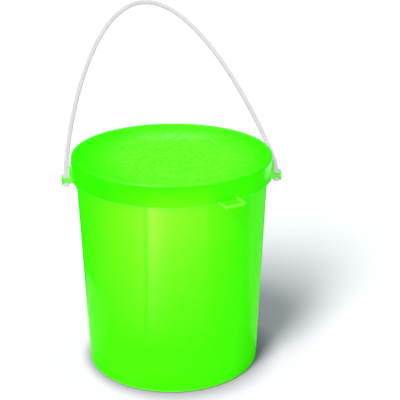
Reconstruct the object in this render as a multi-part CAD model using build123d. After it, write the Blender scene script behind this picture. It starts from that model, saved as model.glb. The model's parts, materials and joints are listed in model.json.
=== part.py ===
from build123d import *
import math
import os

# Aerated bait bucket: a moulded pail, a vented push-on lid and a clip-on bail.
# Millimetres, +Z up. The origin is the centre of the foot ring, on the surface the pail stands on.
# The bail's two lugs lie along X, and at rest the bail leans back towards +Y.

# Pail
foot_radius = 65.8           # outside of the wall at the foot
wall_slope = 0.0387          # outward draft of the wall, mm per mm of height
wall = 1.2
floor_thickness = 1.6
foot_height = 2.2            # the floor is raised this far inside the foot ring
foot_width = 2.6
foot_draft = 0.8             # lean of the foot ring's inner side
foot_round = 1.4
corner_bevel = 2.0           # inside, where the floor meets the wall
rim_top = 164.8
bead_radius = 73.3           # rim bead that the lid snaps over
bead_height = 4.6
bead_slope = 0.9
bead_round = 0.9

# Lid
lid_radius = 75.0            # at the crest
skirt_flare = 0.4            # the skirt is this much wider at its lower edge
skirt_bottom = 150.3
skirt_wall = 1.2
skirt_bevel = 0.3
crest_top = 167.4
crest_round = 2.4            # between skirt and crest
crest_width = 2.8            # flat distance from the skirt to the start of the inner slope
crest_inner_round = 0.8
panel_top = 166.2
panel_thickness = 1.2
panel_edge = 70.8            # foot of the crest's inner slope
panel_edge_round = 1.5
seal_radius = 70.5           # sealing lip that drops inside the pail's rim
seal_depth = 4.0
seal_wall = 1.0
seal_draft = 0.2             # the lip is this much thinner at its tip, on each side
snap_height = 157.6          # ridge inside the skirt, below the pail's rim bead
snap_depth = 0.3
snap_half = 1.2

# Vent holes: rings of six, twelve, eighteen and so on around the moulding gate
vent_pitch = 8.6             # from ring to ring
vent_rings = 5
vents_per_step = 6           # each ring has this many more holes than the one inside it
vent_diameter = 2.2
vent_turn = 3.5              # degrees from the lug axis to the first hole of each ring
gate_diameter = 3.0
gate_depth = 0.5

# Thumb tab on the lid's lower edge
tab_turn = -61.5             # degrees from the lug axis
tab_width = 17.3
tab_length = 9.8             # beyond the skirt
tab_thickness = 1.5
tab_corner = 1.8
tab_border = 1.5             # width of the raised border
tab_border_height = 1.0
tab_droop = 5.0              # degrees

# Lugs on the pail
lug_height = 146.9           # the bail's axis
ear_face = 76.9              # outer face of the ear, from the middle of the pail
ear_thickness = 1.15
ear_width = 11.0
ear_rise = 10.4              # top of the ear above the axis
ear_corner = 4.0
ear_foot = 2.7               # bottom of the ear below the axis
ear_foot_corner = 5.4        # the ear is round below the pin
pin_radius = 2.6
pin_end = 82.7               # outer end of the pin
flange_radius = 4.2
flange_thickness = 0.9
flange_flare = 0.8           # hollow between the pin and its flange
flange_bevel = 0.3
shelf_thickness = 1.5
shelf_gap = 0.4              # below the lid's skirt
gusset_thickness = 1.3
gusset_hollow = 3.4          # rounding between a gusset's underside and the wall
gusset_root = 5.1            # a gusset runs this far down inside the wall
middle_gusset_drop = 2.6     # underside of the middle gusset below the axis
side_gusset_rise = 0.8       # underside of the outer two above it

# Bail
bail_lean = 52.0             # degrees back from upright at rest
bail_span = 79.2             # from the middle of the pail to the middle of each clip
bail_height = 174.5          # from the lug axis to the middle of the crown
bail_straight = 11.0         # straight foot of each arm
bail_skew = -14.3            # the limp strap leans sideways by this much at the crown
bail_arch = 1.6              # exponent of the arch: 1 is an ellipse, more is slimmer
bail_points = 21
strap_width = 3.3
strap_depth = 2.8
strap_bevel = 0.6
clip_radius = 5.0
clip_thickness = 4.0
clip_clearance = 0.08        # running clearance around the pin
clip_mouth = 4.5             # the pin snaps in through this gap
clip_turn = 140.0            # degrees from the strap to the middle of the mouth
root_depth = 6.0             # the strap's root is this deep where it joins the clip
root_height = 3.6


def wall_radius(height):
    """Outer radius of the pail's wall."""
    return foot_radius + wall_slope * height


def turned(profile):
    """Revolve a closed outline of (radius, height, rounding) corners about Z."""
    corners = [(radius, height) for radius, height, rounding in profile]
    roundings = [rounding for radius, height, rounding in profile]
    outline = FilletPolyline(*corners, radius=roundings, close=True)
    return revolve(make_face(Plane.XZ * outline), Axis.Z)


def make_shell():
    """The pail's wall, floor, foot ring and rim bead."""
    floor_top = foot_height + floor_thickness
    bead_bottom = rim_top - bead_height
    foot_inner = foot_radius - foot_width

    def inside(height):
        return wall_radius(height) - wall

    return turned(
        [
            (0, foot_height, 0),
            (foot_inner - foot_draft, foot_height, 0),
            (foot_inner, 0, 0),
            (foot_radius, 0, foot_round),
            (wall_radius(bead_bottom), bead_bottom, 0),
            (bead_radius, bead_bottom + bead_slope, 0),
            (bead_radius, rim_top, bead_round),
            (inside(rim_top), rim_top, 0),
            (inside(floor_top + corner_bevel), floor_top + corner_bevel, 0),
            (inside(floor_top) - corner_bevel, floor_top, 0),
            (0, floor_top, 0),
        ]
    )


def make_ear():
    """Plate that stands clear of the lid's skirt and carries the pin."""
    inner = ear_face - ear_thickness
    half = ear_width / 2
    outline = FilletPolyline(
        (-half, -ear_foot),
        (half, -ear_foot),
        (half, ear_rise),
        (-half, ear_rise),
        radius=[ear_foot_corner, ear_foot_corner, ear_corner, ear_corner],
        close=True,
    )
    face = Plane(origin=(inner, 0, lug_height), x_dir=(0, 1, 0), z_dir=(1, 0, 0))
    return extrude(face * make_face(outline), ear_thickness)


def make_gusset(underside):
    """Web in the XZ plane from the ear to the wall, hollowed where it meets the wall."""
    inner = ear_face - ear_thickness / 2
    root = wall_radius(lug_height) - wall / 2
    shelf_top = skirt_bottom - shelf_gap
    outline = FilletPolyline(
        (root, shelf_top),
        (inner, shelf_top),
        (inner, underside),
        (root + wall / 2, underside),
        (root, underside - gusset_root),
        radius=[0, 0, 0, gusset_hollow, 0],
        close=True,
    )
    return extrude(make_face(Plane.XZ * outline), gusset_thickness / 2, both=True)


def make_bracket():
    """Shelf and gussets that join the ear to the wall below the lid's skirt."""
    inner = ear_face - ear_thickness / 2
    root = wall_radius(lug_height) - wall / 2
    shelf_middle = skirt_bottom - shelf_gap - shelf_thickness / 2
    shelf = Pos((root + inner) / 2, 0, shelf_middle) * Box(inner - root, ear_width, shelf_thickness)
    middle = make_gusset(lug_height - middle_gusset_drop)
    outer = make_gusset(lug_height + side_gusset_rise)
    spread = (ear_width - gusset_thickness) / 2
    return [shelf, middle] + [Pos(0, y, 0) * outer for y in (-spread, spread)]


def make_pin():
    """Round pin with a flared flange that keeps the clip on."""
    start = ear_face - ear_thickness / 2
    flange_back = pin_end - flange_thickness
    outline = FilletPolyline(
        (0, start),
        (pin_radius, start),
        (pin_radius, flange_back),
        (flange_radius, flange_back),
        (flange_radius, pin_end - flange_bevel),
        (flange_radius - flange_bevel, pin_end),
        (0, pin_end),
        radius=[0, 0, flange_flare, 0, 0, 0, 0],
        close=True,
    )
    along_x = Plane(origin=(0, 0, lug_height), x_dir=(0, 1, 0), z_dir=(1, 0, 0))
    return along_x * revolve(make_face(Plane.XZ * outline), Axis.Z)


def make_bucket():
    lug = [make_ear(), *make_bracket(), make_pin()]
    other = [mirror(piece, Plane.YZ) for piece in lug]
    return make_shell() + lug + other


def make_lid_shell():
    """Panel, crest, skirt with its snap ridge, and the sealing lip."""
    under = panel_top - panel_thickness
    slope = skirt_flare / (crest_top - skirt_bottom)
    bottom_radius = lid_radius + skirt_flare

    def inside(height):
        return lid_radius - skirt_wall + slope * (crest_top - height)

    return turned(
        [
            (0, under, 0),
            (seal_radius - seal_wall - seal_draft, under, 0),
            (seal_radius - seal_wall, under - seal_depth, 0),
            (seal_radius - seal_draft, under - seal_depth, 0),
            (seal_radius, under, 0),
            (inside(under), under, 0),
            (inside(snap_height + snap_half), snap_height + snap_half, 0),
            (inside(snap_height) - snap_depth, snap_height, 0),
            (inside(snap_height - snap_half), snap_height - snap_half, 0),
            (bottom_radius - skirt_wall, skirt_bottom, 0),
            (bottom_radius - skirt_bevel, skirt_bottom, 0),
            (bottom_radius, skirt_bottom + skirt_bevel, 0),
            (lid_radius, crest_top, crest_round),
            (lid_radius - crest_width, crest_top, crest_inner_round),
            (panel_edge, panel_top, panel_edge_round),
            (0, panel_top, 0),
        ]
    )


def make_tab():
    """Thumb tab: a plate with a raised border on its three free sides."""
    root = lid_radius + skirt_flare - skirt_wall / 2
    reach = lid_radius + skirt_flare + tab_length - root
    plate_outline = FilletPolyline(
        (0, -tab_width / 2),
        (reach, -tab_width / 2),
        (reach, tab_width / 2),
        (0, tab_width / 2),
        radius=[0, tab_corner, tab_corner, 0],
        close=True,
    )
    plate_face = make_face(plate_outline)
    well_width = tab_width - 2 * tab_border
    well = Pos((reach - tab_border) / 2, 0) * Rectangle(reach - tab_border, well_width)
    plate = extrude(plate_face, tab_thickness)
    border = extrude(plate_face - well, tab_thickness + tab_border_height)
    place = Rot(0, 0, tab_turn) * Pos(root, 0, skirt_bottom) * Rot(0, tab_droop, 0)
    core = Cylinder(root, skirt_bottom, align=(Align.CENTER, Align.CENTER, Align.MIN))
    core = Pos(0, 0, skirt_bottom / 2) * core
    return place * (plate + border) - core


def vent_places():
    """Centres of the vent holes, ring by ring."""
    places = []
    for ring in range(1, vent_rings + 1):
        count = vents_per_step * ring
        places += PolarLocations(ring * vent_pitch, count, start_angle=vent_turn)
    return places


def make_lid():
    drill = Pos(0, 0, panel_top - panel_thickness / 2) * Cylinder(
        vent_diameter / 2, 3 * panel_thickness
    )
    gate = Pos(0, 0, panel_top) * Cylinder(gate_diameter / 2, 2 * gate_depth)
    vents = [place * drill for place in vent_places()]
    return make_lid_shell() + make_tab() - [gate, *vents]


def bail_point(turn):
    """Strap centreline in the bail's plane; turn runs from 0 at +X to pi at -X."""
    rise = math.sin(turn) ** bail_arch
    across = bail_span * math.cos(turn) + bail_skew * rise
    return across, bail_straight + (bail_height - bail_straight) * rise


def bevelled(width, depth):
    """Cross-section of the strap and of its root."""
    return chamfer(Rectangle(width, depth).vertices(), strap_bevel)


def make_strap():
    """Arch of the bail, from the top of one root to the top of the other."""
    turns = [math.pi * i / (bail_points - 1) for i in range(bail_points)]
    path = Spline(
        *[bail_point(turn) for turn in turns],
        tangents=[(0, 1), (0, -1)],
    )
    section = bevelled(strap_width, strap_depth)
    start = Plane(origin=(bail_span, bail_straight, 0), x_dir=(1, 0, 0), z_dir=(0, 1, 0))
    return sweep(start * section, path=path)


def make_clip(side):
    """Open clip and strap root at one end of the bail."""
    centre = Pos(side * bail_span, 0, 0)
    ring = Rot(0, 90, 0) * Cylinder(clip_radius, clip_thickness)
    bore = Rot(0, 90, 0) * Cylinder(pin_radius + clip_clearance, 2 * clip_thickness)
    low = Plane(origin=(0, root_height, 0), x_dir=(1, 0, 0), z_dir=(0, 1, 0))
    high = Plane(origin=(0, bail_straight, 0), x_dir=(1, 0, 0), z_dir=(0, 1, 0))
    root = loft(
        [
            low * bevelled(clip_thickness, root_depth),
            high * bevelled(strap_width, strap_depth),
        ]
    )
    mouth = Rot(clip_turn, 0, 0) * Pos(0, clip_radius, 0) * Box(
        2 * clip_thickness, 2 * clip_radius, clip_mouth
    )
    return centre * (ring + root - bore - mouth)


def make_bail():
    bail = make_strap() + [make_clip(1), make_clip(-1)]
    lean = math.radians(bail_lean)
    plane = Plane(
        origin=(0, 0, lug_height),
        x_dir=(1, 0, 0),
        z_dir=(0, -math.cos(lean), math.sin(lean)),
    )
    return plane * bail


nodes = {
    "bucket": make_bucket(),
    "lid": make_lid(),
    "bail": make_bail(),
}

os.makedirs("parts", exist_ok=True)
for name, shape in nodes.items():
    export_step(shape, f"parts/{name}.step")
    print(name, len(shape.solids()), round(shape.volume / 1000, 2), "cm3", shape.bounding_box())
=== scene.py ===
import json

import bmesh
import bpy
import numpy as np
from mathutils import Matrix, Vector
from mathutils.geometry import delaunay_2d_cdt


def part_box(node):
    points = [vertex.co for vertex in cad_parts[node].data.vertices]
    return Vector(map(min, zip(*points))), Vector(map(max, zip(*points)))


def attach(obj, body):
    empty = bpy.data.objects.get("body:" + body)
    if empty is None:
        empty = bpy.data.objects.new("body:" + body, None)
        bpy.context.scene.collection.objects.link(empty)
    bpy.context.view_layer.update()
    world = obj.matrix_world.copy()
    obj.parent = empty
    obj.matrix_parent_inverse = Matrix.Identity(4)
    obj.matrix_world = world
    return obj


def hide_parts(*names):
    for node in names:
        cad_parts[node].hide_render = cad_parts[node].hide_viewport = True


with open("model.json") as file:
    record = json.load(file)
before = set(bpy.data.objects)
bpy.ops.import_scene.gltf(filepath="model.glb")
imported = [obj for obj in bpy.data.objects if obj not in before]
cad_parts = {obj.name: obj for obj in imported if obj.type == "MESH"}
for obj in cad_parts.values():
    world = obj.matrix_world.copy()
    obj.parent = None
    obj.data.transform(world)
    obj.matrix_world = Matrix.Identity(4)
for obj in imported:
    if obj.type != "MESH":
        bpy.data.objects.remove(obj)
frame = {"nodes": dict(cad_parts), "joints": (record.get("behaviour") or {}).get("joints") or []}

# A bait bucket: a fluorescent green pail and vented lid, and a milky white bail clipped to the pail's two
# lugs. The front is towards -Y, the lugs are on the X axis, and the pail stands on height 0. Sizes in the
# dictionaries are millimetres unless a note says otherwise, and meshes are in metres.
# A part is (points, faces). Each point is x, y, z and its edge value, a painted highlight that lightens the
# colour along moulded edges. faces is a list of blocks, each an array of faces with the same number of
# sides.

mm = 0.001
scene = bpy.context.scene
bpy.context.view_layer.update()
lugTip, beadRadius, rimTop = np.array(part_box("bucket")[1]) / mm    # the bucket's greatest x, y and z
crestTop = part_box("lid")[1][2] / mm
hingePoint = next(joint["pos_m"] for joint in frame["joints"] if joint["name"] == "bail_swing")
lugHeight = hingePoint[2] / mm
print("frame loaded")


def roundedOutline(corners, steps=6, fade=0.5, fadeShare=0.4):
    # Each corner is (a, b, rounding) or (a, b, rounding, edge value). A rounding is an arc tangent to both
    # sides: its centre lies inward on the corner's bisector, rounding / sin(half the corner's angle) away,
    # and at angle q from the bisector the arc is at centre + rounding (sin q onward - cos q inward). The
    # third column is the edge value, a painted highlight: the corner's edge value on an arc, and 0 where
    # the straight side has run on by fade, or by fadeShare of its length if that is less.
    table = np.array([(*corner, 0.0)[:4] for corner in corners], float)
    places, rounding, paintedLight = table[:, :2], table[:, 2], table[:, 3]
    before = np.roll(places, 1, 0) - places
    after = np.roll(places, -1, 0) - places
    lengthBefore, lengthAfter = np.linalg.norm(before, axis=1), np.linalg.norm(after, axis=1)
    before /= lengthBefore[:, None]
    after /= lengthAfter[:, None]
    half = np.arccos(np.clip((before * after).sum(1), -1, 1)) / 2
    inward = (before + after) / (2 * np.cos(half))[:, None]
    onward = (after - before) / (2 * np.sin(half))[:, None]
    centre = places + inward * (rounding / np.sin(half))[:, None]
    swing = (np.linspace(-1, 1, steps + 1)[:, None] * (np.pi / 2 - half))[..., None]
    arc = centre + rounding[:, None] * (np.sin(swing) * onward - np.cos(swing) * inward)
    trim = rounding / np.tan(half)
    leadIn = trim + np.minimum(fade, fadeShare * (lengthBefore - trim - np.roll(trim, 1)))
    runOut = trim + np.minimum(fade, fadeShare * (lengthAfter - trim - np.roll(trim, -1)))
    rows = np.zeros((steps + 3, len(places), 3))
    rows[0, :, :2] = places + before * leadIn[:, None]
    rows[1:-1, :, :2] = arc
    rows[-1, :, :2] = places + after * runOut[:, None]
    rows[1:-1, :, 2] = paintedLight
    used = (rounding > 0) | (np.arange(steps + 3)[:, None] == 1)    # a sharp corner is one point
    return rows.transpose(1, 0, 2)[used.T]


def roundedRectangle(width, depth, rounding, steps=4):
    # Half the width and half the depth to each side of the middle, with all four corners rounded.
    a, b = width / 2, depth / 2
    corners = ((-a, -b), (a, -b), (a, b), (-a, b))
    return roundedOutline([(*corner, rounding) for corner in corners], steps)[:, :2]


def circlePoints(radius, count):
    # Point k of the circle is at radius (cos t, sin t), with t = 2 pi k / count.
    angle = np.linspace(0, 2 * np.pi, count, endpoint=False)
    return radius * np.stack([np.cos(angle), np.sin(angle)], -1)


def gridFaces(rows, columns, closeRows=False, closeColumns=False):
    # Quads between neighbours of a rows by columns grid of points, wrapped round where an end is closed.
    rowStarts, columnStarts = np.arange(rows - (not closeRows)), np.arange(columns - (not closeColumns))
    i, j = np.meshgrid(rowStarts, columnStarts, indexing="ij")
    nextI, nextJ = (i + 1) % rows, (j + 1) % columns
    quads = (i * columns + j, nextI * columns + j, nextI * columns + nextJ, i * columns + nextJ)
    return np.stack(quads, -1).reshape(-1, 4)


def turnedGrid(outline, turns):
    # A point of the outline (radius r, height z) at turn t lies at (r cos t, r sin t, z).
    points = np.empty((turns, len(outline), 4))
    points[..., :2] = circlePoints(1, turns)[:, None] * outline[:, :1]
    points[..., 2:] = outline[:, 1:]
    return points.reshape(-1, 4), [gridFaces(turns, len(outline), closeRows=True)]


def cappedTube(points):
    # A grid of points whose rows are closed rings, joined into a tube and closed at both ends.
    rows, columns = points.shape[:2]
    first = np.arange(columns)[None]
    walls = gridFaces(rows, columns, closeColumns=True)
    return points.reshape(-1, 4), [walls, first, first + (rows - 1) * columns]


def prism(outline, low, high, soft, steps=4, capFade=2.5, sideFade=2.0):
    # A flat closed outline (a, b) raised from low to high along c. Its two rims are rounded by soft: at
    # angle q of the rounding the outline moves in by soft (1 - cos q) and the height by soft (1 - sin q).
    # The rims' edge value, a painted highlight, is 1, and 0 by capFade and sideFade times soft from the
    # prism's edge.
    outline = outline[:, :2]
    following, previous = np.roll(outline, -1, 0), np.roll(outline, 1, 0)
    along = following - previous
    along /= np.linalg.norm(along, axis=1)[:, None]
    area = np.sum(outline[:, 0] * following[:, 1] - outline[:, 1] * following[:, 0])
    inward = np.sign(area) * np.stack([-along[:, 1], along[:, 0]], -1)
    quarter = np.linspace(np.pi / 2, 0, steps)
    moveIn = np.concatenate([[capFade * soft], soft * (1 - np.cos(quarter)), [0]])
    moveUp = np.concatenate([[0], soft * (1 - np.sin(quarter)), [sideFade * soft]])
    edge = np.concatenate([[0], np.ones(steps), [0]])
    points = np.empty((2 * len(edge), len(outline), 4))
    points[..., :2] = outline + np.concatenate([moveIn, moveIn[::-1]])[:, None, None] * inward
    points[..., 2] = np.concatenate([low + moveUp, high - moveUp[::-1]])[:, None]
    points[..., 3] = np.concatenate([edge, edge])[:, None]
    return cappedTube(points)


def carried(sections, centres, across, out):
    # A closed section (a, b) at each centre: its points lie at centre + a across + b out.
    points = np.zeros((len(centres), sections.shape[-2], 4))
    points[..., :3] = sections[..., :1] * across[:, None] + sections[..., 1:] * out[:, None]
    points[..., :3] += centres[:, None]
    return cappedTube(points)


def joined(parts):
    # Several parts as one: the faces of each count on from the points before it.
    starts = np.cumsum([0] + [len(points) for points, faces in parts])
    faces = [block + start for start, (points, blocks) in zip(starts, parts) for block in blocks]
    return np.concatenate([points for points, blocks in parts]), faces


def placed(part, matrix):
    # Each point p moves to M p + d, where M is the matrix's first three columns and d its fourth.
    points, faces = part
    matrix = np.array(matrix)
    moved = points[:, :3] @ matrix[:3, :3].T + matrix[:3, 3]
    return np.concatenate([moved, points[:, 3:]], -1), faces


def newObject(name, part):
    # The part's mesh, on an object at the origin.
    points, blocks = part
    faces = [face for block in blocks for face in block.tolist()]
    mesh = bpy.data.meshes.new(name)
    mesh.from_pydata((points[:, :3] * mm).tolist(), [], faces)
    made = bpy.data.objects.new(name, mesh)
    scene.collection.objects.link(made)
    return made


def makePiece(name, part, sharpAngle=35.0, mergeDistance=2e-7):
    # Merges points closer than mergeDistance (m), turns every closed shell outwards, and smooths the edges
    # that are flatter than sharpAngle (degrees).
    piece = newObject(name, part)
    mesh = piece.data
    # The edge value goes on the mesh as a painted highlight, for the material to read.
    edge = mesh.attributes.new("edge", "FLOAT", "POINT")
    edge.data.foreach_set("value", part[0][:, 3].astype(np.float32))
    work = bmesh.new()
    work.from_mesh(mesh)
    bmesh.ops.remove_doubles(work, verts=work.verts, dist=mergeDistance)
    bmesh.ops.recalc_face_normals(work, faces=work.faces)
    work.to_mesh(mesh)
    work.free()
    mesh.shade_smooth()
    mesh.set_sharp_from_angle(angle=np.radians(sharpAngle))
    print(name, "made:", len(mesh.polygons), "faces")
    return piece


pailShape = {
    "footRadius": 65.8,
    "wallSlope": 0.0387,       # outward draft, mm per mm of height
    "wall": 1.2,
    "floorThickness": 1.6,
    "footHeight": 2.2,
    "footWidth": 2.6,
    "footDraft": 0.8,
    "footRound": 1.4,          # outside
    "footInnerRound": 0.5,
    "cornerRound": 2.0,        # inside, where the floor meets the wall
    "beadHeight": 4.6,
    "beadSlope": 0.9,
    "beadRound": 0.9,
    "beadEdge": 0.4,           # rounding of the bead's other edges
    "turns": 256,              # points round the pail
}


def wallRadius(height):
    # Outside, a straight taper: the foot's radius plus the slope times the height.
    return pailShape["footRadius"] + pailShape["wallSlope"] * height


def makePail():
    # An outline of the foot, wall, rim bead, inside and floor, turned about the axis.
    shape = pailShape
    floorTop = shape["footHeight"] + shape["floorThickness"]
    beadBottom = rimTop - shape["beadHeight"]
    footInner = shape["footRadius"] - shape["footWidth"]
    insideLow, insideHigh = wallRadius(np.array([floorTop, rimTop])) - shape["wall"]
    outline = roundedOutline([
        (0, shape["footHeight"], 0),
        (footInner - shape["footDraft"], shape["footHeight"], shape["footInnerRound"]),
        (footInner, 0, shape["footInnerRound"]),
        # painted highlight on the foot's outer edge
        (shape["footRadius"], 0, shape["footRound"], 1.0),
        (wallRadius(beadBottom), beadBottom, shape["beadEdge"]),
        (beadRadius, beadBottom + shape["beadSlope"], shape["beadEdge"]),
        (beadRadius, rimTop, shape["beadRound"]),
        (insideHigh, rimTop, shape["beadEdge"]),
        (insideLow, floorTop, shape["cornerRound"]),
        (0, floorTop, 0),
    ])
    return makePiece("pail_shell", turnedGrid(outline, shape["turns"]))


lugShape = {
    "earFace": 76.9,           # outer face of the ear, from the pail's axis
    "earThickness": 1.15,
    "earWidth": 11.0,
    "earRise": 10.4,           # top of the ear above the bail's axis
    "earCorner": 4.0,
    "earFoot": 2.7,            # bottom of the ear below the axis
    "earFootCorner": 5.4,
    "pinRadius": 2.6,
    "pinTaper": 0.5,           # more radius at the pin's root
    "pinRoot": 0.3,            # the root starts this far into the ear and ends as far in front of it
    "pinRootRound": 0.2,
    "pinTurns": 48,            # points round the pin
    "flangeRadius": 4.2,
    "flangeThickness": 0.9,
    "flangeFlare": 0.8,
    "flangeBackRound": 0.25,
    "flangeFrontRound": 0.45,
    "shelfThickness": 1.5,
    "shelfGap": 0.4,
    "gussetThickness": 1.3,
    "gussetGap": 0.1,          # below the top of the shelf
    "gussetHollow": 3.4,       # rounding between a gusset and the wall
    "gussetRoot": 5.1,         # depth of a gusset's root inside the wall
    "middleDrop": 2.6,         # underside of the middle gusset below the axis
    "sideRise": 0.8,           # underside of the outer two above it
    "edge": 0.25,              # softness of the moulded edges
}


def makeLug(name, side):
    # An ear, a shelf and three gussets, each an outline raised into a prism, and a pin, which is turned.
    # They are worked out for the lug at +X, and turned half round for the other.
    shape = lugShape
    soft = shape["edge"]
    raisedAlongX = ((0, 0, 1, 0), (1, 0, 0, 0), (0, 1, 0, 0))
    raisedAlongY = ((1, 0, 0, 0), (0, 0, 1, 0), (0, 1, 0, 0))
    turnedAboutPin = ((0, 0, 1, 0), (1, 0, 0, 0), (0, 1, 0, lugHeight))
    inner = shape["earFace"] - shape["earThickness"]
    half = shape["earWidth"] / 2
    root = wallRadius(lugHeight) - pailShape["wall"] / 2
    shelfTop = lidShape["skirtBottom"] - shape["shelfGap"]
    shelfUnder = shelfTop - shape["shelfThickness"]
    earLow, earHigh = lugHeight - shape["earFoot"], lugHeight + shape["earRise"]
    ear = roundedOutline([
        (-half, earLow, shape["earFootCorner"]),
        (half, earLow, shape["earFootCorner"]),
        (half, earHigh, shape["earCorner"]),
        (-half, earHigh, shape["earCorner"]),
    ])
    shelf = roundedOutline([
        (root, shelfUnder, 0),
        (inner + soft, shelfUnder, 0),
        (inner + soft, shelfTop, 0),
        (root, shelfTop, 0),
    ])
    parts = [
        placed(prism(ear, inner, shape["earFace"], soft), raisedAlongX),
        placed(prism(shelf, -half, half, soft), raisedAlongY),
    ]
    halfGusset = shape["gussetThickness"] / 2
    gussetTop = shelfTop - shape["gussetGap"]
    earMiddle = inner + shape["earThickness"] / 2
    sideUnder, middleUnder = lugHeight + shape["sideRise"], lugHeight - shape["middleDrop"]
    for middle, under in ((halfGusset - half, sideUnder), (0, middleUnder), (half - halfGusset, sideUnder)):
        gusset = roundedOutline([
            (root, gussetTop, 0),
            (earMiddle, gussetTop, 0),
            (earMiddle, under, 0),
            (root + pailShape["wall"] / 2, under, shape["gussetHollow"]),
            (root, under - shape["gussetRoot"], 0),
        ])
        parts.append(placed(prism(gusset, middle - halfGusset, middle + halfGusset, soft), raisedAlongY))
    pinStart, rootEnd = inner + shape["pinRoot"], shape["earFace"] + shape["pinRoot"]
    flangeBack = lugTip - shape["flangeThickness"]
    pin = roundedOutline([
        (0, pinStart, 0),
        (shape["pinRadius"] + shape["pinTaper"], pinStart, 0),
        (shape["pinRadius"], rootEnd, shape["pinRootRound"]),
        (shape["pinRadius"], flangeBack, shape["flangeFlare"]),
        # painted highlight on the flange's two edges
        (shape["flangeRadius"], flangeBack, shape["flangeBackRound"], 1.0),
        (shape["flangeRadius"], lugTip, shape["flangeFrontRound"], 1.0),
        (0, lugTip, 0),
    ])
    parts.append(placed(turnedGrid(pin, shape["pinTurns"]), turnedAboutPin))
    points, faces = joined(parts)
    return makePiece(name, (points * (side, side, 1, 1), faces))


lidShape = {
    "radius": 75.0,            # at the crest
    "flare": 0.4,
    "skirtBottom": 150.3,
    "skirtWall": 1.2,
    "skirtEdge": 0.4,          # rounding of its lower edge
    "skirtInnerEdge": 0.3,
    "skirtPaintedLight": 0.5,          # painted highlight on that edge
    "crestRound": 2.4,
    "crestWidth": 2.8,
    "crestInnerRound": 0.8,
    # painted highlight on the crest's inner edge
    "crestPaintedLight": 0.3,
    "panelTop": 166.2,
    "panelThickness": 1.2,
    "panelEdge": 70.8,
    "panelEdgeRound": 1.5,
    "innerRound": 0.6,         # where the panel meets the skirt, and on the snap ridge
    "sealRadius": 70.5,
    "sealDepth": 4.0,
    "sealWall": 1.0,
    "sealDraft": 0.2,
    "sealRound": 0.3,
    "sealTipRound": 0.25,
    "snapHeight": 157.6,
    "snapDepth": 0.3,
    "snapHalf": 1.2,
    "plateRadius": 50.0,       # inside this, the pierced middle of the panel is meshed apart
    "turns": 256,
}
ventShape = {
    "pitch": 8.6,              # from ring to ring
    "rings": 5,
    "perStep": 6,              # each ring has this many more holes than the one inside it
    "diameter": 2.2,
    "turn": 3.5,               # degrees from the lug axis to the first hole of each ring
    "lip": 0.25,               # rounding of each hole's edge
    "lipSteps": 4,
    "collar": 0.4,             # flat ring round each hole
    "paintedLight": 0.2,               # painted highlight on the lips at the front
    "backPaintedLight": 1.0,           # and behind, where they catch the light
    "backStart": 8.0,
    "backFull": 34.0,
    "points": 20,              # round each hole
}
gateShape = {
    "radius": 1.4,             # of the dimple at the moulding gate
    "depth": 0.5,
    "draft": 0.2,
    "edgeRound": 0.25,
    "floorRound": 0.3,
    "roundSteps": 3,           # in each rounding
    "collar": 0.3,
    "points": 40,
}


def ventCentres():
    # Ring k has 6 k holes, evenly turned, at k times the pitch.
    rings = []
    for step in range(1, ventShape["rings"] + 1):
        count = ventShape["perStep"] * step
        angle = np.radians(ventShape["turn"]) + 2 * np.pi * np.arange(count) / count
        rings.append(step * ventShape["pitch"] * np.stack([np.cos(angle), np.sin(angle)], -1))
    return np.concatenate(rings)


def ventWalls(centres, top, under):
    # One wall's outline (radius, height) goes in from the collar, down through the panel with both lips
    # rounded, and out to the collar below. Round each vent it is at centre + radius (cos t, sin t). The
    # collars' outer rings are given too.
    shape = ventShape
    circle = circlePoints(1, shape["points"])
    quarter = np.linspace(0, np.pi / 2, shape["lipSteps"])
    collar = shape["diameter"] / 2 + shape["lip"] + shape["collar"]
    lipRadius = shape["diameter"] / 2 + shape["lip"] * (1 - np.sin(quarter))
    lipDrop = shape["lip"] * (1 - np.cos(quarter))
    lipEdge = quarter < quarter[-1]     # painted highlight: 1 on a lip, and 0 from where the hole's straight wall begins
    radius = np.concatenate([[collar], lipRadius, lipRadius[::-1], [collar]])
    height = np.concatenate([[top], top - lipDrop, under + lipDrop[::-1], [under]])
    edge = np.concatenate([[0], lipEdge, lipEdge[::-1], [0]])
    # The lips' painted highlight is weak at the front and full behind, where the light catches them.
    backward = (shape["backStart"], shape["backFull"])
    paintedLight = np.interp(centres[:, 1], backward, (shape["paintedLight"], shape["backPaintedLight"]))
    points = np.empty((len(centres), len(radius), len(circle), 4))
    points[..., :2] = centres[:, None, None] + radius[:, None, None] * circle
    points[..., 2] = height[:, None]
    points[..., 3] = paintedLight[:, None, None] * edge[:, None]
    starts = np.arange(len(centres)) * len(radius) * len(circle)
    faces = gridFaces(len(radius), len(circle), closeColumns=True) + starts[:, None, None]
    return (points.reshape(-1, 4), [faces.reshape(-1, 4)]), centres[:, None] + collar * circle


def piercedFlat(height, rim, holes, mergeWithin=1e-6, slack=0.998):
    # The flat left of a disc after its holes, which are closed rings of points: a Delaunay net, without the
    # triangles whose middle is nearer to a hole's centre than slack times the straight sides of its ring.
    rings = [rim, *holes]
    starts = np.cumsum([0] + [len(ring) for ring in rings])
    sides = np.concatenate([
        np.stack([np.arange(low, high), np.roll(np.arange(low, high), -1)], -1)
        for low, high in zip(starts[:-1], starts[1:])
    ])
    net = delaunay_2d_cdt(np.concatenate(rings).tolist(), sides.tolist(), [], 0, mergeWithin)
    flat = np.array(net[0])
    triangles = np.array(net[2])
    middles = flat[triangles].mean(1)
    kept = np.ones(len(triangles), bool)
    for ring in holes:
        centre = ring.mean(0)
        toSides = np.linalg.norm(ring[0] - centre) * np.cos(np.pi / len(ring))
        kept &= np.linalg.norm(middles - centre, axis=1) > slack * toSides
    points = np.zeros((len(flat), 4))
    points[:, :2] = flat
    points[:, 2] = height
    return points, [triangles[kept]]


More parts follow.
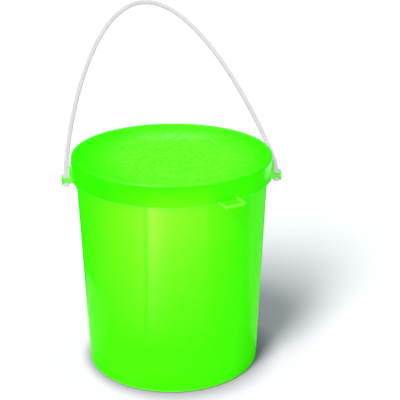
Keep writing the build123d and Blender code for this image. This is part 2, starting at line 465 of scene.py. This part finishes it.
def makeLid():
    # The crest, skirt, snap ridge and sealing lip are one outline, turned about the axis. The middle of the
    # panel is two pierced flats, joined by the walls of the vents, with a dimple at the moulding gate.
    shape, gate = lidShape, gateShape
    top = shape["panelTop"]
    under = top - shape["panelThickness"]
    bottomRadius = shape["radius"] + shape["flare"]
    slope = shape["flare"] / (crestTop - shape["skirtBottom"])
    sealInner = shape["sealRadius"] - shape["sealWall"]
    sealTip = under - shape["sealDepth"]
    snapLow, snapHigh = shape["snapHeight"] - shape["snapHalf"], shape["snapHeight"] + shape["snapHalf"]

    def inside(height):
        return shape["radius"] - shape["skirtWall"] + slope * (crestTop - height)

    outline = roundedOutline([
        (shape["plateRadius"], under, 0),
        (sealInner - shape["sealDraft"], under, shape["sealRound"]),
        (sealInner, sealTip, shape["sealTipRound"]),
        (shape["sealRadius"] - shape["sealDraft"], sealTip, shape["sealRound"]),
        (shape["sealRadius"], under, shape["sealRound"]),
        (inside(under), under, shape["innerRound"]),
        (inside(snapHigh), snapHigh, 0),
        (inside(shape["snapHeight"]) - shape["snapDepth"], shape["snapHeight"], shape["innerRound"]),
        (inside(snapLow), snapLow, 0),
        (bottomRadius - shape["skirtWall"], shape["skirtBottom"], shape["skirtInnerEdge"]),
        (bottomRadius, shape["skirtBottom"], shape["skirtEdge"], shape["skirtPaintedLight"]),
        (shape["radius"], crestTop, shape["crestRound"]),
        (shape["radius"] - shape["crestWidth"], crestTop, shape["crestInnerRound"], shape["crestPaintedLight"]),
        (shape["panelEdge"], top, shape["panelEdgeRound"]),
        (shape["plateRadius"], top, 0),
    ])
    walls, collars = ventWalls(ventCentres(), top, under)
    gateCollar = gate["radius"] + gate["collar"]
    dimple = roundedOutline([
        (gateCollar, top, 0),
        (gate["radius"], top, gate["edgeRound"]),
        (gate["radius"] - gate["draft"], top - gate["depth"], gate["floorRound"]),
        (0, top - gate["depth"], 0),
    ], gate["roundSteps"])
    rim = circlePoints(shape["plateRadius"], shape["turns"])
    return makePiece("lid_shell", joined([
        turnedGrid(outline, shape["turns"]),
        walls,
        turnedGrid(dimple, gate["points"]),
        piercedFlat(top, rim, [*collars, circlePoints(gateCollar, gate["points"])]),
        piercedFlat(under, rim, list(collars)),
    ]))


tabShape = {
    "turn": -61.5,             # degrees from the lug axis, to the front
    "width": 17.3,
    "length": 9.8,             # beyond the skirt
    "thickness": 1.5,
    "corner": 1.8,
    "border": 1.5,             # width of the raised border
    "borderHeight": 1.0,
    "borderCorner": 0.5,
    "droop": 5.0,              # degrees
    "edge": 0.3,
    "webEdge": 0.02,           # of the web, which meets the border all round
    "webLow": 0.05,            # its underside above the border's
}


def makeTab():
    # A U-shaped border and the thinner web inside it, each an outline raised into a prism. They start
    # inside the skirt's wall, and are tilted down and turned to the tab's place.
    shape = tabShape
    skirtRadius = lidShape["radius"] + lidShape["flare"]
    root = skirtRadius - lidShape["skirtWall"] / 2
    reach = skirtRadius + shape["length"] - root
    half = shape["width"] / 2
    innerReach, innerHalf = reach - shape["border"], half - shape["border"]
    webReach, webHalf = reach - shape["border"] / 2, half - shape["border"] / 2
    border = roundedOutline([
        (0, -half, 0),
        (reach, -half, shape["corner"]),
        (reach, half, shape["corner"]),
        (0, half, 0),
        (0, innerHalf, 0),
        (innerReach, innerHalf, shape["borderCorner"]),
        (innerReach, -innerHalf, shape["borderCorner"]),
        (0, -innerHalf, 0),
    ])
    web = roundedOutline([
        (0, -webHalf, 0),
        (webReach, -webHalf, shape["borderCorner"]),
        (webReach, webHalf, shape["borderCorner"]),
        (0, webHalf, 0),
    ])
    rim, rimFaces = prism(border, 0, shape["thickness"] + shape["borderHeight"], shape["edge"])
    rim[:, 3] = rim[:, 2] > shape["thickness"]      # painted highlight on all the border above the web
    part = joined([(rim, rimFaces), prism(web, shape["webLow"], shape["thickness"], shape["webEdge"])])
    return makePiece("lid_tab", placed(part, (
        Matrix.Rotation(np.radians(shape["turn"]), 4, "Z")
        @ Matrix.Translation((root, 0, lidShape["skirtBottom"]))
        @ Matrix.Rotation(np.radians(shape["droop"]), 4, "Y")
    )))


bailShape = {
    "lean": 52.0,              # degrees back from upright at rest
    "span": 79.2,              # from the pail's axis to the middle of each clip
    "height": 174.5,           # from the lug axis to the middle of the crown
    "straight": 11.0,          # straight foot of each arm
    "skew": -14.3,             # sideways lean of the limp strap at the crown
    "arch": 1.6,               # exponent of the arch
    "strapWidth": 3.3,
    "strapDepth": 2.8,
    "strapRound": 0.95,
    "rootDepth": 6.0,
    "rootHeight": 3.0,
    "clipRadius": 5.0,
    "clipThickness": 4.0,
    "clipRound": 0.6,
    "clearance": 0.08,
    "mouth": 4.5,
    "clipTurn": 140.0,         # degrees from the strap to the middle of the mouth
    "archSteps": 220,
    "footSteps": 7,
    "clipSteps": 72,
    "tipSteps": 3,             # steps in which a clip's tip narrows
    "tipShare": 0.35,          # to this share of its section
}


def makeBail():
    # The strap's line in the bail's plane is across = span cos t + skew rise, up = straight + (height -
    # straight) rise, where rise = sin(t)^arch and t goes from 0 to pi. It ends in straight feet.
    shape = bailShape
    turn = np.pi * (0.5 - 0.5 * np.cos(np.linspace(0, np.pi, shape["archSteps"])))
    rise = np.sin(turn).clip(0) ** shape["arch"]
    foot = np.full(shape["footSteps"], shape["span"])
    footUp = np.linspace(shape["rootHeight"], shape["straight"], shape["footSteps"] + 1)[:-1]
    across = np.concatenate([foot, shape["span"] * np.cos(turn) + shape["skew"] * rise, -foot])
    archUp = shape["straight"] + (shape["height"] - shape["straight"]) * rise
    up = np.concatenate([footUp, archUp, footUp[::-1]])
    line = np.stack([across, up, 0 * up], -1)
    along = np.gradient(line, axis=0)
    along /= np.linalg.norm(along, axis=1)[:, None]
    side = np.stack([along[:, 1], -along[:, 0], 0 * up], -1)
    out = np.broadcast_to((0.0, 0.0, 1.0), side.shape)

    # Each foot changes smoothly, by share^2 (3 - 2 share), from the clip's section to the strap's.
    share = np.interp(up, (shape["rootHeight"], shape["straight"]), (0, 1))[:, None, None]
    strap = roundedRectangle(shape["strapWidth"], shape["strapDepth"], shape["strapRound"])
    root = roundedRectangle(shape["clipThickness"], shape["rootDepth"], shape["strapRound"])
    parts = [carried(root + (strap - root) * share * share * (3 - 2 * share), line, side, out)]

    # Each clip is a ring about its pin, open at the mouth, whose ends narrow as a quarter circle does.
    inner = lugShape["pinRadius"] + shape["clearance"]
    middle = (inner + shape["clipRadius"]) / 2
    section = roundedRectangle(shape["clipThickness"], shape["clipRadius"] - inner, shape["clipRound"])
    gap = np.arcsin(shape["mouth"] / 2 / middle)
    angle = np.radians(shape["clipTurn"]) + np.linspace(gap, 2 * np.pi - gap, shape["clipSteps"])
    radial = np.stack([0 * angle, np.cos(angle), np.sin(angle)], -1)
    sideways = np.broadcast_to((1.0, 0.0, 0.0), radial.shape)
    step = np.arange(shape["clipSteps"])
    fromTip = (np.minimum(step, step[::-1]) / shape["tipSteps"]).clip(0, 1)
    narrowing = np.sqrt(1 - (1 - fromTip) ** 2).clip(shape["tipShare"], 1)[:, None, None]
    for pinMiddle in (shape["span"], -shape["span"]):
        parts.append(carried(section * narrowing, (pinMiddle, 0, 0) + middle * radial, sideways, radial))
    lean = np.radians(shape["lean"])
    return makePiece("bail_strap", placed(joined(parts), (
        (1, 0, 0, 0),
        (0, np.sin(lean), -np.cos(lean), 0),
        (0, np.cos(lean), np.sin(lean), lugHeight),
    )))


pail = makePail()
lugRight = makeLug("lug_right", 1)
lugLeft = makeLug("lug_left", -1)
lid = makeLid()
tab = makeTab()
bail = makeBail()
greenPieces = (pail, lugRight, lugLeft, lid, tab)
print("pieces made")


def linear(hexColour):
    # sRGB to linear: c / 12.92 up to 0.04045, else ((c + 0.055) / 1.055) ^ 2.4.
    value = np.array([int(hexColour[i:i + 2], 16) / 255 for i in (1, 3, 5)])
    return (*np.where(value <= 0.04045, value / 12.92, ((value + 0.055) / 1.055) ** 2.4).tolist(), 1.0)


def emptyTree(owner):
    # The node tree of a new material or world, with nothing in it.
    owner.use_nodes = True
    owner.node_tree.nodes.clear()
    return owner.node_tree


def addNode(tree, kind, settings=None, **links):
    # settings are the node's properties, and links its inputs, each a value or a socket to join. An input
    # goes by its name with _ for a space, or by input and its number.
    node = tree.nodes.new("ShaderNode" + kind)
    for name, value in (settings or {}).items():
        setattr(node, name, value)
    for name, value in links.items():
        socket = node.inputs[int(name[5:]) if name.startswith("input") else name.replace("_", " ")]
        if isinstance(value, bpy.types.NodeSocket):
            tree.links.new(value, socket)
        else:
            socket.default_value = value
    return node


def maths(tree, operation, *values):
    # One sum on numbers or sockets, such as MULTIPLY.
    inputs = {"input" + str(index): value for index, value in enumerate(values)}
    return addNode(tree, "Math", {"operation": operation}, **inputs).outputs[0]


def mixed(tree, share, first, second, name="colours"):
    # The first colour where the share is 0, going over to the second where it is 1.
    settings = {"data_type": "RGBA", "name": name}
    return addNode(tree, "Mix", settings, input0=share, input6=first, input7=second).outputs[2]


def ranged(tree, value, start, end, low=0.0, high=1.0, curve="LINEAR"):
    # From low to high as the value goes from start to end, in a straight line or by another curve.
    return addNode(
        tree, "MapRange", {"interpolation_type": curve},
        Value=value, From_Min=start, From_Max=end, To_Min=low, To_Max=high,
    ).outputs["Result"]


greenPlastic = {
    "colour": "#50FA0A",       # where light falls full on it
    "cloud": "#28F800",        # and where a little more dye has gathered
    "cloudSize": 2.0,          # mm
    "paintedLight": "#25A900",         # painted glow, the same all over, which lifts the shaded sides; it stands for the dye's fluorescence
    "roughness": 0.14,
    "ior": 1.8,                # above the plastic's 1.49: light also comes back from inside the wall
    "specular": 1.0,
    "innerTint": "#C4FF59",    # with the dye's colour
    "paintedEdgeHighlight": "#96FF55",   # painted highlight that lightens moulded edges
    "paintedEdgeHighlightShare": 0.55,
    "grain": 1.6,              # mm: the mould's orange peel is finer, but wouldn't show
    "relief": 0.1,             # mm
    "bump": 0.3,
}
lugPlasticPaintedPaler = {
    **greenPlastic,            # painted light: paler than the pail's green, for the room's light through the thin lugs
    "colour": "#5CF03C",
    "cloud": "#5CF03C",
    "paintedLight": "#3C9A28",
    "paintedEdgeHighlight": "#B8F09A",
    "paintedEdgeHighlightShare": 0.4,
}


def mouldGrain(tree, place, values):
    # The mould's texture, as a normal: noise of the grain's size that stands up by the relief.
    noise = addNode(tree, "TexNoise", Vector=place, Scale=1 / (values["grain"] * mm), Detail=2.0)
    height = noise.outputs["Fac"]
    bump = addNode(tree, "Bump", Height=height, Strength=values["bump"], Distance=values["relief"] * mm)
    return bump.outputs["Normal"]


def makeGreen(name, values):
    # Injection-moulded fluorescent polypropylene: smooth and waxy, with a painted glow, the same all over,
    # which stands for its dye's fluorescence and lifts its shaded sides.
    material = bpy.data.materials.new(name)
    tree = emptyTree(material)
    place = addNode(tree, "TexCoord").outputs["Object"]
    clouds = addNode(tree, "TexNoise", Vector=place, Scale=1 / (values["cloudSize"] * mm), Detail=3.0)
    body = mixed(tree, clouds.outputs["Fac"], linear(values["cloud"]), linear(values["colour"]))
    # Painted highlight: the edge value lightens the colour along moulded edges.
    edge = addNode(tree, "Attribute", {"attribute_name": "edge"}).outputs["Fac"]
    paintedEdgeHighlightShare = maths(tree, "MULTIPLY", edge, values["paintedEdgeHighlightShare"])
    colour = mixed(tree, paintedEdgeHighlightShare, body, linear(values["paintedEdgeHighlight"]), "body and painted edge highlight")
    surface = addNode(
        tree, "BsdfPrincipled",
        Base_Color=colour, Roughness=values["roughness"], IOR=values["ior"],
        Specular_IOR_Level=values["specular"], Specular_Tint=linear(values["innerTint"]),
        Emission_Color=linear(values["paintedLight"]), Emission_Strength=1.0,
        Normal=mouldGrain(tree, place, values),
    )
    addNode(tree, "OutputMaterial", Surface=surface.outputs["BSDF"])
    return material


lidPlastic = {
    "frost": "#72FA2C",        # the fine-textured pierced field
    "frostDark": "#40F90C",
    "speckle": 3.0,            # mm: the texture is finer, but wouldn't show
    "speckleLow": 0.26,        # noise values that give the two frost colours
    "speckleHigh": 0.74,
    "paintedVentLight": "#84FA66",         # painted light: paler round the far vents, where more light comes through
    "hazeMiddle": (6, 42),     # from the lid's axis
    "hazeReach": 46.0,
    "hazeDepth": 2.8,          # times shorter front to back than left to right
    # The field fades to the plain colour from fieldReach to plainReach about fieldMiddle: painted shade
    # towards the rim.
    "fieldMiddle": (4, -10),
    "fieldDepth": 0.7,         # under 1, so it is longer front to back
    "fieldReach": 32.0,
    "plain": "#22F602",        # the smooth plastic round it, darker; the fade into it is painted shade
    "plainReach": 78.0,
    "crestInside": 74.2,       # the field's colour ends on the crest
    "crestOutside": 75.0,
    "fieldRoughness": 0.45,
    "plainRoughness": 0.08,
    "paintedEdgeHighlight": "#98FF70",
    "innerTint": "#C8FF68",
}


def fadeFrom(tree, place, middle, depth, start, end):
    # Smoothly from 0 to 1 as the distance from the middle goes from start to end. Front to back, distances
    # count depth times.
    moved = addNode(
        tree, "VectorMath", {"operation": "SUBTRACT"},
        input0=place, input1=(middle[0] * mm, middle[1] * mm, 0.0),
    )
    plan = addNode(
        tree, "VectorMath", {"operation": "MULTIPLY"}, input0=moved.outputs[0], input1=(1.0, depth, 0.0)
    )
    distance = addNode(tree, "VectorMath", {"operation": "LENGTH"}, input0=plan.outputs[0])
    return ranged(tree, distance.outputs["Value"], start * mm, end * mm, curve="SMOOTHSTEP")


def makeLidGreen(name):
    # The same moulding with a spark-eroded field, paler and matt, which fades into painted shade towards
    # the rim, and a painted paler haze round the far vents.
    values = lidPlastic
    own = {"paintedEdgeHighlight": values["paintedEdgeHighlight"], "innerTint": values["innerTint"]}
    material = makeGreen(name, {**greenPlastic, **own})
    tree = material.node_tree
    place = addNode(tree, "TexCoord").outputs["Object"]
    # Painted shade: the field fades to the darker plain colour towards the rim; the roughness follows it.
    outsideFieldAndPaintedShade = fadeFrom(
        tree, place, values["fieldMiddle"], values["fieldDepth"], values["fieldReach"], values["plainReach"]
    )
    onCrest = fadeFrom(tree, place, (0, 0), 1.0, values["crestInside"], values["crestOutside"])
    plain = maths(tree, "MAXIMUM", outsideFieldAndPaintedShade, onCrest)
    noise = addNode(tree, "TexNoise", Vector=place, Scale=1 / (values["speckle"] * mm), Detail=2.0)
    speckle = ranged(tree, noise.outputs["Fac"], values["speckleLow"], values["speckleHigh"])
    frost = mixed(tree, speckle, linear(values["frostDark"]), linear(values["frost"]))
    # Painted light: a paler haze round the far vents, mottled by the speckle.
    apart = fadeFrom(tree, place, values["hazeMiddle"], values["hazeDepth"], 0, values["hazeReach"])
    paintedVentLight = maths(tree, "MULTIPLY", maths(tree, "SUBTRACT", 1.0, apart), speckle)
    field = mixed(tree, paintedVentLight, frost, linear(values["paintedVentLight"]))
    body = mixed(tree, plain, field, linear(values["plain"]))
    roughness = ranged(tree, plain, 0.0, 1.0, values["fieldRoughness"], values["plainRoughness"])
    tree.links.new(body, tree.nodes["body and painted edge highlight"].inputs[6])
    tree.links.new(roughness, tree.nodes["Principled BSDF"].inputs["Roughness"])
    return material


whitePlastic = {
    "colour": "#8E8D8D",
    "paintedLight": "#A2A1A1",         # painted glow that fills its shaded sides, standing for light scattered inside it
    "roughness": 0.35,
    "ior": 1.49,
    "scatter": 3.0,            # mm that light travels inside it
    "grain": 1.5,              # mm: the mould's texture is finer, but wouldn't show
    "relief": 0.05,            # mm
    "bump": 0.1,
}


def makeWhite(name):
    # Injection-moulded natural polypropylene: milky, as light scatters inside it, with a soft gloss and a
    # painted glow that fills its shaded sides.
    values = whitePlastic
    material = bpy.data.materials.new(name)
    tree = emptyTree(material)
    place = addNode(tree, "TexCoord").outputs["Object"]
    surface = addNode(
        tree, "BsdfPrincipled",
        Base_Color=linear(values["colour"]), Roughness=values["roughness"], IOR=values["ior"],
        Subsurface_Weight=1.0, Subsurface_Radius=(1.0, 1.0, 1.0), Subsurface_Scale=values["scatter"] * mm,
        Emission_Color=linear(values["paintedLight"]), Emission_Strength=1.0,
        Normal=mouldGrain(tree, place, values),
    )
    addNode(tree, "OutputMaterial", Surface=surface.outputs["BSDF"])
    return material


green = makeGreen("moulded fluorescent green polypropylene", greenPlastic)
lugGreen = makeGreen("thin moulded fluorescent green polypropylene", lugPlasticPaintedPaler)
lidGreen = makeLidGreen("spark-textured fluorescent green polypropylene")
white = makeWhite("moulded natural polypropylene")
for piece in (pail, lugRight, lugLeft):
    piece.data.materials.append(green if piece is pail else lugGreen)
    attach(piece, "bucket")
for piece in (lid, tab):
    piece.data.materials.append(lidGreen if piece is lid else green)
    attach(piece, "lid")
bail.data.materials.append(white)
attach(bail, "bail")
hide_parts("bucket")
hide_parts("lid")
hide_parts("bail")
for node in frame["nodes"].values():
    node.data.materials.clear()
    node.data.materials.append(white if node.name == "bail" else green)
print("materials given")


def towards(turn, height):
    # The direction from the pail at turn degrees from the front and height degrees above the floor:
    # (sin turn cos height, -cos turn cos height, sin height).
    turn, height = np.radians((turn, height))
    return Vector((np.sin(turn) * np.cos(height), -np.cos(turn) * np.cos(height), np.sin(height)))


def aimed(name, data, place, back):
    # A lamp or camera at a place, whose back is towards a direction.
    holder = bpy.data.objects.new(name, data)
    holder.location = place
    holder.rotation_mode = "QUATERNION"
    holder.rotation_quaternion = back.to_track_quat("Z", "Y")
    scene.collection.objects.link(holder)
    return holder


def hideFrom(thing, *rays):
    # An object isn't seen by these kinds of ray, or a lamp doesn't light their surfaces.
    for ray in rays:
        setattr(thing, "visible_" + ray, False)


cameraPlace = {
    "turn": -4.35,             # degrees round the pail from the front
    "height": 20.61,           # degrees above the floor
    "distance": 815.3,         # from the point looked at
    "lookRight": 21.13,        # that point's place right of the pail's axis
    "lookUp": 128.58,          # and above the floor
    "lens": 96.59,
    "sensor": 36.0,
}


def makeCamera():
    # It stands at the point looked at, plus the distance times the direction back.
    values = cameraPlace
    back = towards(values["turn"], values["height"])
    right = Vector((0, 0, 1)).cross(back).normalized()
    place = Vector((0, 0, values["lookUp"])) + right * values["lookRight"] + back * values["distance"]
    data = bpy.data.cameras.new("camera")
    data.lens = values["lens"]
    data.sensor_width = values["sensor"]
    scene.camera = aimed("camera", data, place * mm, back)


softBox = {
    # A tall soft box, as three suns one above another.
    "turn": -35.0,             # degrees from the front, to the left
    "heights": (34.0, 48.0, 64.0),
    "strengths": (1.1, 1.4, 1.4),
    "width": 18.0,             # degrees across, for the shadow's soft edge
}
glint = {
    # The soft box again, seen only by the gloss of the green pieces.
    "turn": -39.0,
    "height": 50.0,
    "strength": 0.9,
    "width": 25.0,
    "colour": (0.28, 0.3, 1.6),    # red, green, blue: blue is what turns the plastic's green pale
}
fill = {
    # The pale floor's light, for the bail alone: a sun from below that nothing else blocks.
    "turn": 50.0,
    "height": -40.0,
    "strength": 2.0,
    "width": 170.0,
}


def makeSun(name, turn, height, strength, width, colour=(1.0, 1.0, 1.0)):
    # turn, height and width are degrees.
    back = towards(turn, height)
    data = bpy.data.lights.new(name, "SUN")
    data.energy = strength
    data.angle = np.radians(width)
    data.color = colour
    return aimed(name, data, back, back)


def lightOnly(lamp, pieces):
    # The lamp lights these pieces alone. Gives their group.
    group = bpy.data.collections.new("lit by the " + lamp.name)
    for piece in pieces:
        group.objects.link(piece)
    lamp.light_linking.receiver_collection = group
    return group


def makeLamps():
    # The soft box lights all that isn't mirrored, and the other two only the pieces they are for.
    for height, strength in zip(softBox["heights"], softBox["strengths"]):
        hideFrom(makeSun("sun", softBox["turn"], height, strength, softBox["width"]), "glossy")
    glintLamp = makeSun("glint", **glint)
    hideFrom(glintLamp, "diffuse")
    lightOnly(glintLamp, greenPieces)
    fillLamp = makeSun("fill", **fill)
    fillLamp.light_linking.blocker_collection = lightOnly(fillLamp, [bail])


def lightAlong(tree, value, stops):
    # Light that changes with a value: each stop is (value, (red, green, blue)), from the lowest value up.
    low, high = stops[0][0], stops[-1][0]
    ramp = addNode(tree, "ValToRGB", Fac=ranged(tree, value, low, high))
    elements = ramp.color_ramp.elements
    for place, colour in stops[1:-1]:
        elements.new((place - low) / (high - low)).color = (*colour, 1)
    elements[0].color, elements[-1].color = (*stops[0][1], 1), (*stops[-1][1], 1)
    return ramp.outputs["Color"]


sky = {
    "low": 0.016,              # strength near the horizon
    "high": 0.64,              # and overhead
    "start": 0.35,             # heights of the change, as sines of the angle above the horizon
    "end": 0.8,
    "tint": (0.88, 1.0, 1.02),     # red, green, blue
    "mirrored": 0.25,          # share of it that gloss sees
    "front": 0.5,              # strength of the pale room in front, which gloss alone sees
    "frontTurn": -8.0,         # degrees from the front
    "frontFull": 0.6,          # cosine of the angle from there at which it is full; it starts at 0
    "frontBand": ((-0.15, 0), (-0.03, 1), (0.45, 1), (0.75, 0)),    # its share at each height, as sines
}


def makeWorld():
    # Soft light from overhead, and for gloss a pale band in front. The camera sees plain white.
    world = bpy.data.worlds.new("room")
    tree = emptyTree(world)
    direction = addNode(tree, "TexCoord").outputs["Generated"]
    height = addNode(tree, "SeparateXYZ", Vector=direction).outputs["Z"]
    ray = addNode(tree, "LightPath").outputs
    overhead = ranged(tree, height, sky["start"], sky["end"], sky["low"], sky["high"], "SMOOTHSTEP")
    seenShare = ranged(tree, ray["Is Glossy Ray"], 0.0, 1.0, 1.0, sky["mirrored"])
    facing = addNode(
        tree, "VectorMath", {"operation": "DOT_PRODUCT"},
        input0=direction, input1=towards(sky["frontTurn"], 0),
    )
    inFront = ranged(tree, facing.outputs["Value"], 0.0, sky["frontFull"], curve="SMOOTHSTEP")
    frontStops = [(sine, (share * sky["front"],) * 3) for sine, share in sky["frontBand"]]
    band = lightAlong(tree, height, frontStops)
    front = maths(tree, "MULTIPLY", inFront, band)
    glossFront = maths(tree, "MULTIPLY", front, ray["Is Glossy Ray"])
    above = maths(tree, "MULTIPLY", overhead, seenShare)
    strength = maths(tree, "MAXIMUM", maths(tree, "ADD", above, glossFront), ray["Is Camera Ray"])
    colour = mixed(tree, ray["Is Camera Ray"], (*sky["tint"], 1.0), (1.0, 1.0, 1.0, 1.0))
    room = addNode(tree, "Background", Color=colour, Strength=strength)
    addNode(tree, "OutputWorld", Surface=room.outputs[0])
    scene.world = world
    scene.view_settings.view_transform = "Standard"


def stageMaterial(thing, name):
    # A new material for a floor or board, whose empty tree it gives.
    material = bpy.data.materials.new(name)
    thing.data.materials.append(material)
    return emptyTree(material)


floorShape = {
    "colour": "#E7E7E7",
    "half": 20000.0,           # of its width
    "contact": 22.0,           # reach of the painted contact shadow
    "contactLeft": 9.0,        # and on the lit side
    "samples": 16,             # of the painted contact shadow
}


def makeFloor():
    # Matt paper with a painted contact shadow: ambient occlusion darkens its colour close to the pail,
    # reaching less far on the lit left side.
    corners = np.array([(-1, -1, 0), (1, -1, 0), (1, 1, 0), (-1, 1, 0)]) * floorShape["half"]
    floor = newObject("floor", (corners, [np.arange(4)[None]]))
    tree = stageMaterial(floor, "studio floor")
    place = addNode(tree, "TexCoord").outputs["Object"]
    apart = addNode(tree, "SeparateXYZ", Vector=place)
    reach = ranged(
        tree, apart.outputs["X"], -pailShape["footRadius"] * mm, 0.0,
        floorShape["contactLeft"] * mm, floorShape["contact"] * mm,
    )
    # Painted contact shadow: ambient occlusion darkens the floor's colour near the pail.
    contact = addNode(
        tree, "AmbientOcclusion", {"samples": floorShape["samples"]},
        Color=linear(floorShape["colour"]), Distance=reach,
    )
    surface = addNode(tree, "BsdfDiffuse", Color=contact.outputs["Color"])
    addNode(tree, "OutputMaterial", Surface=surface.outputs[0])
    hideFrom(floor, "glossy")


boardHeight = 0.5              # above the floor
boardSteps = 97                # points along each board's arc
boardShapes = {
    # Pale boards laid round the pail, which only gloss sees. reach holds (distance from the pail's axis,
    # share of the strength), and round holds (degrees from the front, strength, share of blue).
    "front_left": {
        "reach": ((118, 0), (198, 0.42), (291, 0.72), (370, 0.95), (400, 0.85), (470, 0)),
        "round": (
            (-118, 0, 0.2), (-102, 0.17, 0.2), (-87, 0.5, 0.2), (-74, 1.15, 0.2), (-66, 1.15, 0.2),
            (-64, 1.4, 0.3), (-53, 1.65, 0.4), (-42, 2.3, 0.5), (-36, 2.7, 0.6), (-34, 2.7, 0.6),
            (-33.2, 1.0, 0.5), (-32, 0.7, 0.5),
        ),
    },
    "front_right": {
        "reach": ((118, 0), (198, 0.33), (291, 0.76), (330, 1.05), (370, 1.2), (400, 1.05), (470, 0)),
        "round": (
            (-32, 0.5, 0.5), (-30.5, 0.5, 0.5), (-29, 3.6, 1.0), (-25, 3.7, 1.0), (-16, 2.9, 0.8),
            (-7, 2.2, 0.7), (2, 1.97, 0.6), (10, 1.85, 0.6), (19, 1.6, 0.5), (28, 1.5, 0.5), (34, 1.4, 0.4),
            (37, 0.9, 0.3), (46, 0.65, 0.2), (56, 0.5, 0.2), (66, 0.28, 0.2), (79, 0.12, 0.2), (95, 0, 0.2),
        ),
    },
    "right": {
        "reach": ((50, 0), (70, 1.0), (384, 1.0), (470, 0)),
        "round": ((84, 0, 0.7), (98, 0.24, 0.7), (140, 0.24, 0.7), (160, 0, 0.7)),
    },
    "left": {
        "reach": ((45, 0), (65, 1.0), (150, 1.0), (185, 0.8), (200, 0)),
        "round": ((-135, 0, 0.7), (-126, 0.4, 0.8), (-98, 0.28, 0.7), (-86, 0.2, 0.7), (-72, 0, 0.7)),
    },
    "outer": {
        "reach": (
            (472, 0), (512, 1.4), (530, 1.4), (556, 1.05), (572, 0.95), (584, 0.3), (600, 0.1), (700, 0.2),
            (900, 0),
        ),
        "round": (
            (-80, 0, 0.1), (-45, 0.5, 0.1), (-20, 1.05, 0.1), (5, 1.05, 0.1), (27, 0.9, 0.1),
            (50, 0.3, 0.1), (80, 0.12, 0.1), (105, 0.06, 0.2), (118, 0.15, 0.5), (130, 0.7, 1.0),
            (150, 0.5, 1.0), (165, 0, 1.0),
        ),
    },
}


def makeBoard(name, reach, sides):
    # A sector of a ring: a point at turn t and radius r lies at (r sin t, -r cos t). Its strength is one
    # ramp over the radius times another over the turn.
    turns = np.radians(np.linspace(sides[0][0], sides[-1][0], boardSteps))[:, None]
    radii = np.array([reach[0][0], reach[-1][0]])
    points = np.full((boardSteps, 2, 3), boardHeight)
    points[..., 0] = radii * np.sin(turns)
    points[..., 1] = -radii * np.cos(turns)
    board = newObject(name + "_board", (points.reshape(-1, 3), [gridFaces(boardSteps, 2)]))
    tree = stageMaterial(board, name + " board")
    place = addNode(tree, "TexCoord").outputs["Object"]
    apart = addNode(tree, "SeparateXYZ", Vector=place)
    forward = maths(tree, "MULTIPLY", apart.outputs["Y"], -1.0)
    turn = maths(tree, "ARCTAN2", apart.outputs["X"], forward)
    radius = addNode(tree, "VectorMath", {"operation": "LENGTH"}, input0=place)
    brightest = max(level for degrees, level, blue in sides)
    most = max(share for distance, share in reach)
    across = lightAlong(tree, turn, [
        (np.radians(degrees), (level / brightest, level / brightest, level / brightest * blue))
        for degrees, level, blue in sides
    ])
    outward = lightAlong(tree, radius.outputs["Value"], [
        (distance * mm, (share / most,) * 3) for distance, share in reach
    ])
    strength = maths(tree, "MULTIPLY", outward, brightest * most)
    light = addNode(tree, "Emission", Color=across, Strength=strength)
    addNode(tree, "OutputMaterial", Surface=light.outputs[0])
    hideFrom(board, "camera", "diffuse", "transmission", "volume_scatter", "shadow")


flagShape = {
    # A grey tube just inside the pail's wall, which only scattered light sees. It shades the floor beside
    # the pail without the pail's green.
    "colour": "#808080",
    "depth": 0.6,
    "bottom": 0.5,
    "top": 164.0,
    "turns": 96,
}


def makeFlag():
    # The wall's line, moved in by the depth and turned about the axis.
    heights = np.array([flagShape["bottom"], flagShape["top"]])
    outline = np.stack([wallRadius(heights) - flagShape["depth"], heights, 0 * heights], -1)
    flag = newObject("flag", turnedGrid(outline, flagShape["turns"]))
    tree = stageMaterial(flag, "grey card")
    surface = addNode(tree, "BsdfDiffuse", Color=linear(flagShape["colour"]))
    addNode(tree, "OutputMaterial", Surface=surface.outputs[0])
    hideFrom(flag, "camera", "glossy", "transmission", "volume_scatter", "shadow")


makeCamera()
makeLamps()
makeWorld()
makeFloor()
for boardName, board in boardShapes.items():
    makeBoard(boardName, board["reach"], board["round"])
makeFlag()
for piece in (*greenPieces, bail):
    hideFrom(piece, "diffuse")      # so that the floor's shadow stays grey
hideFrom(bail, "glossy")
print("studio set")
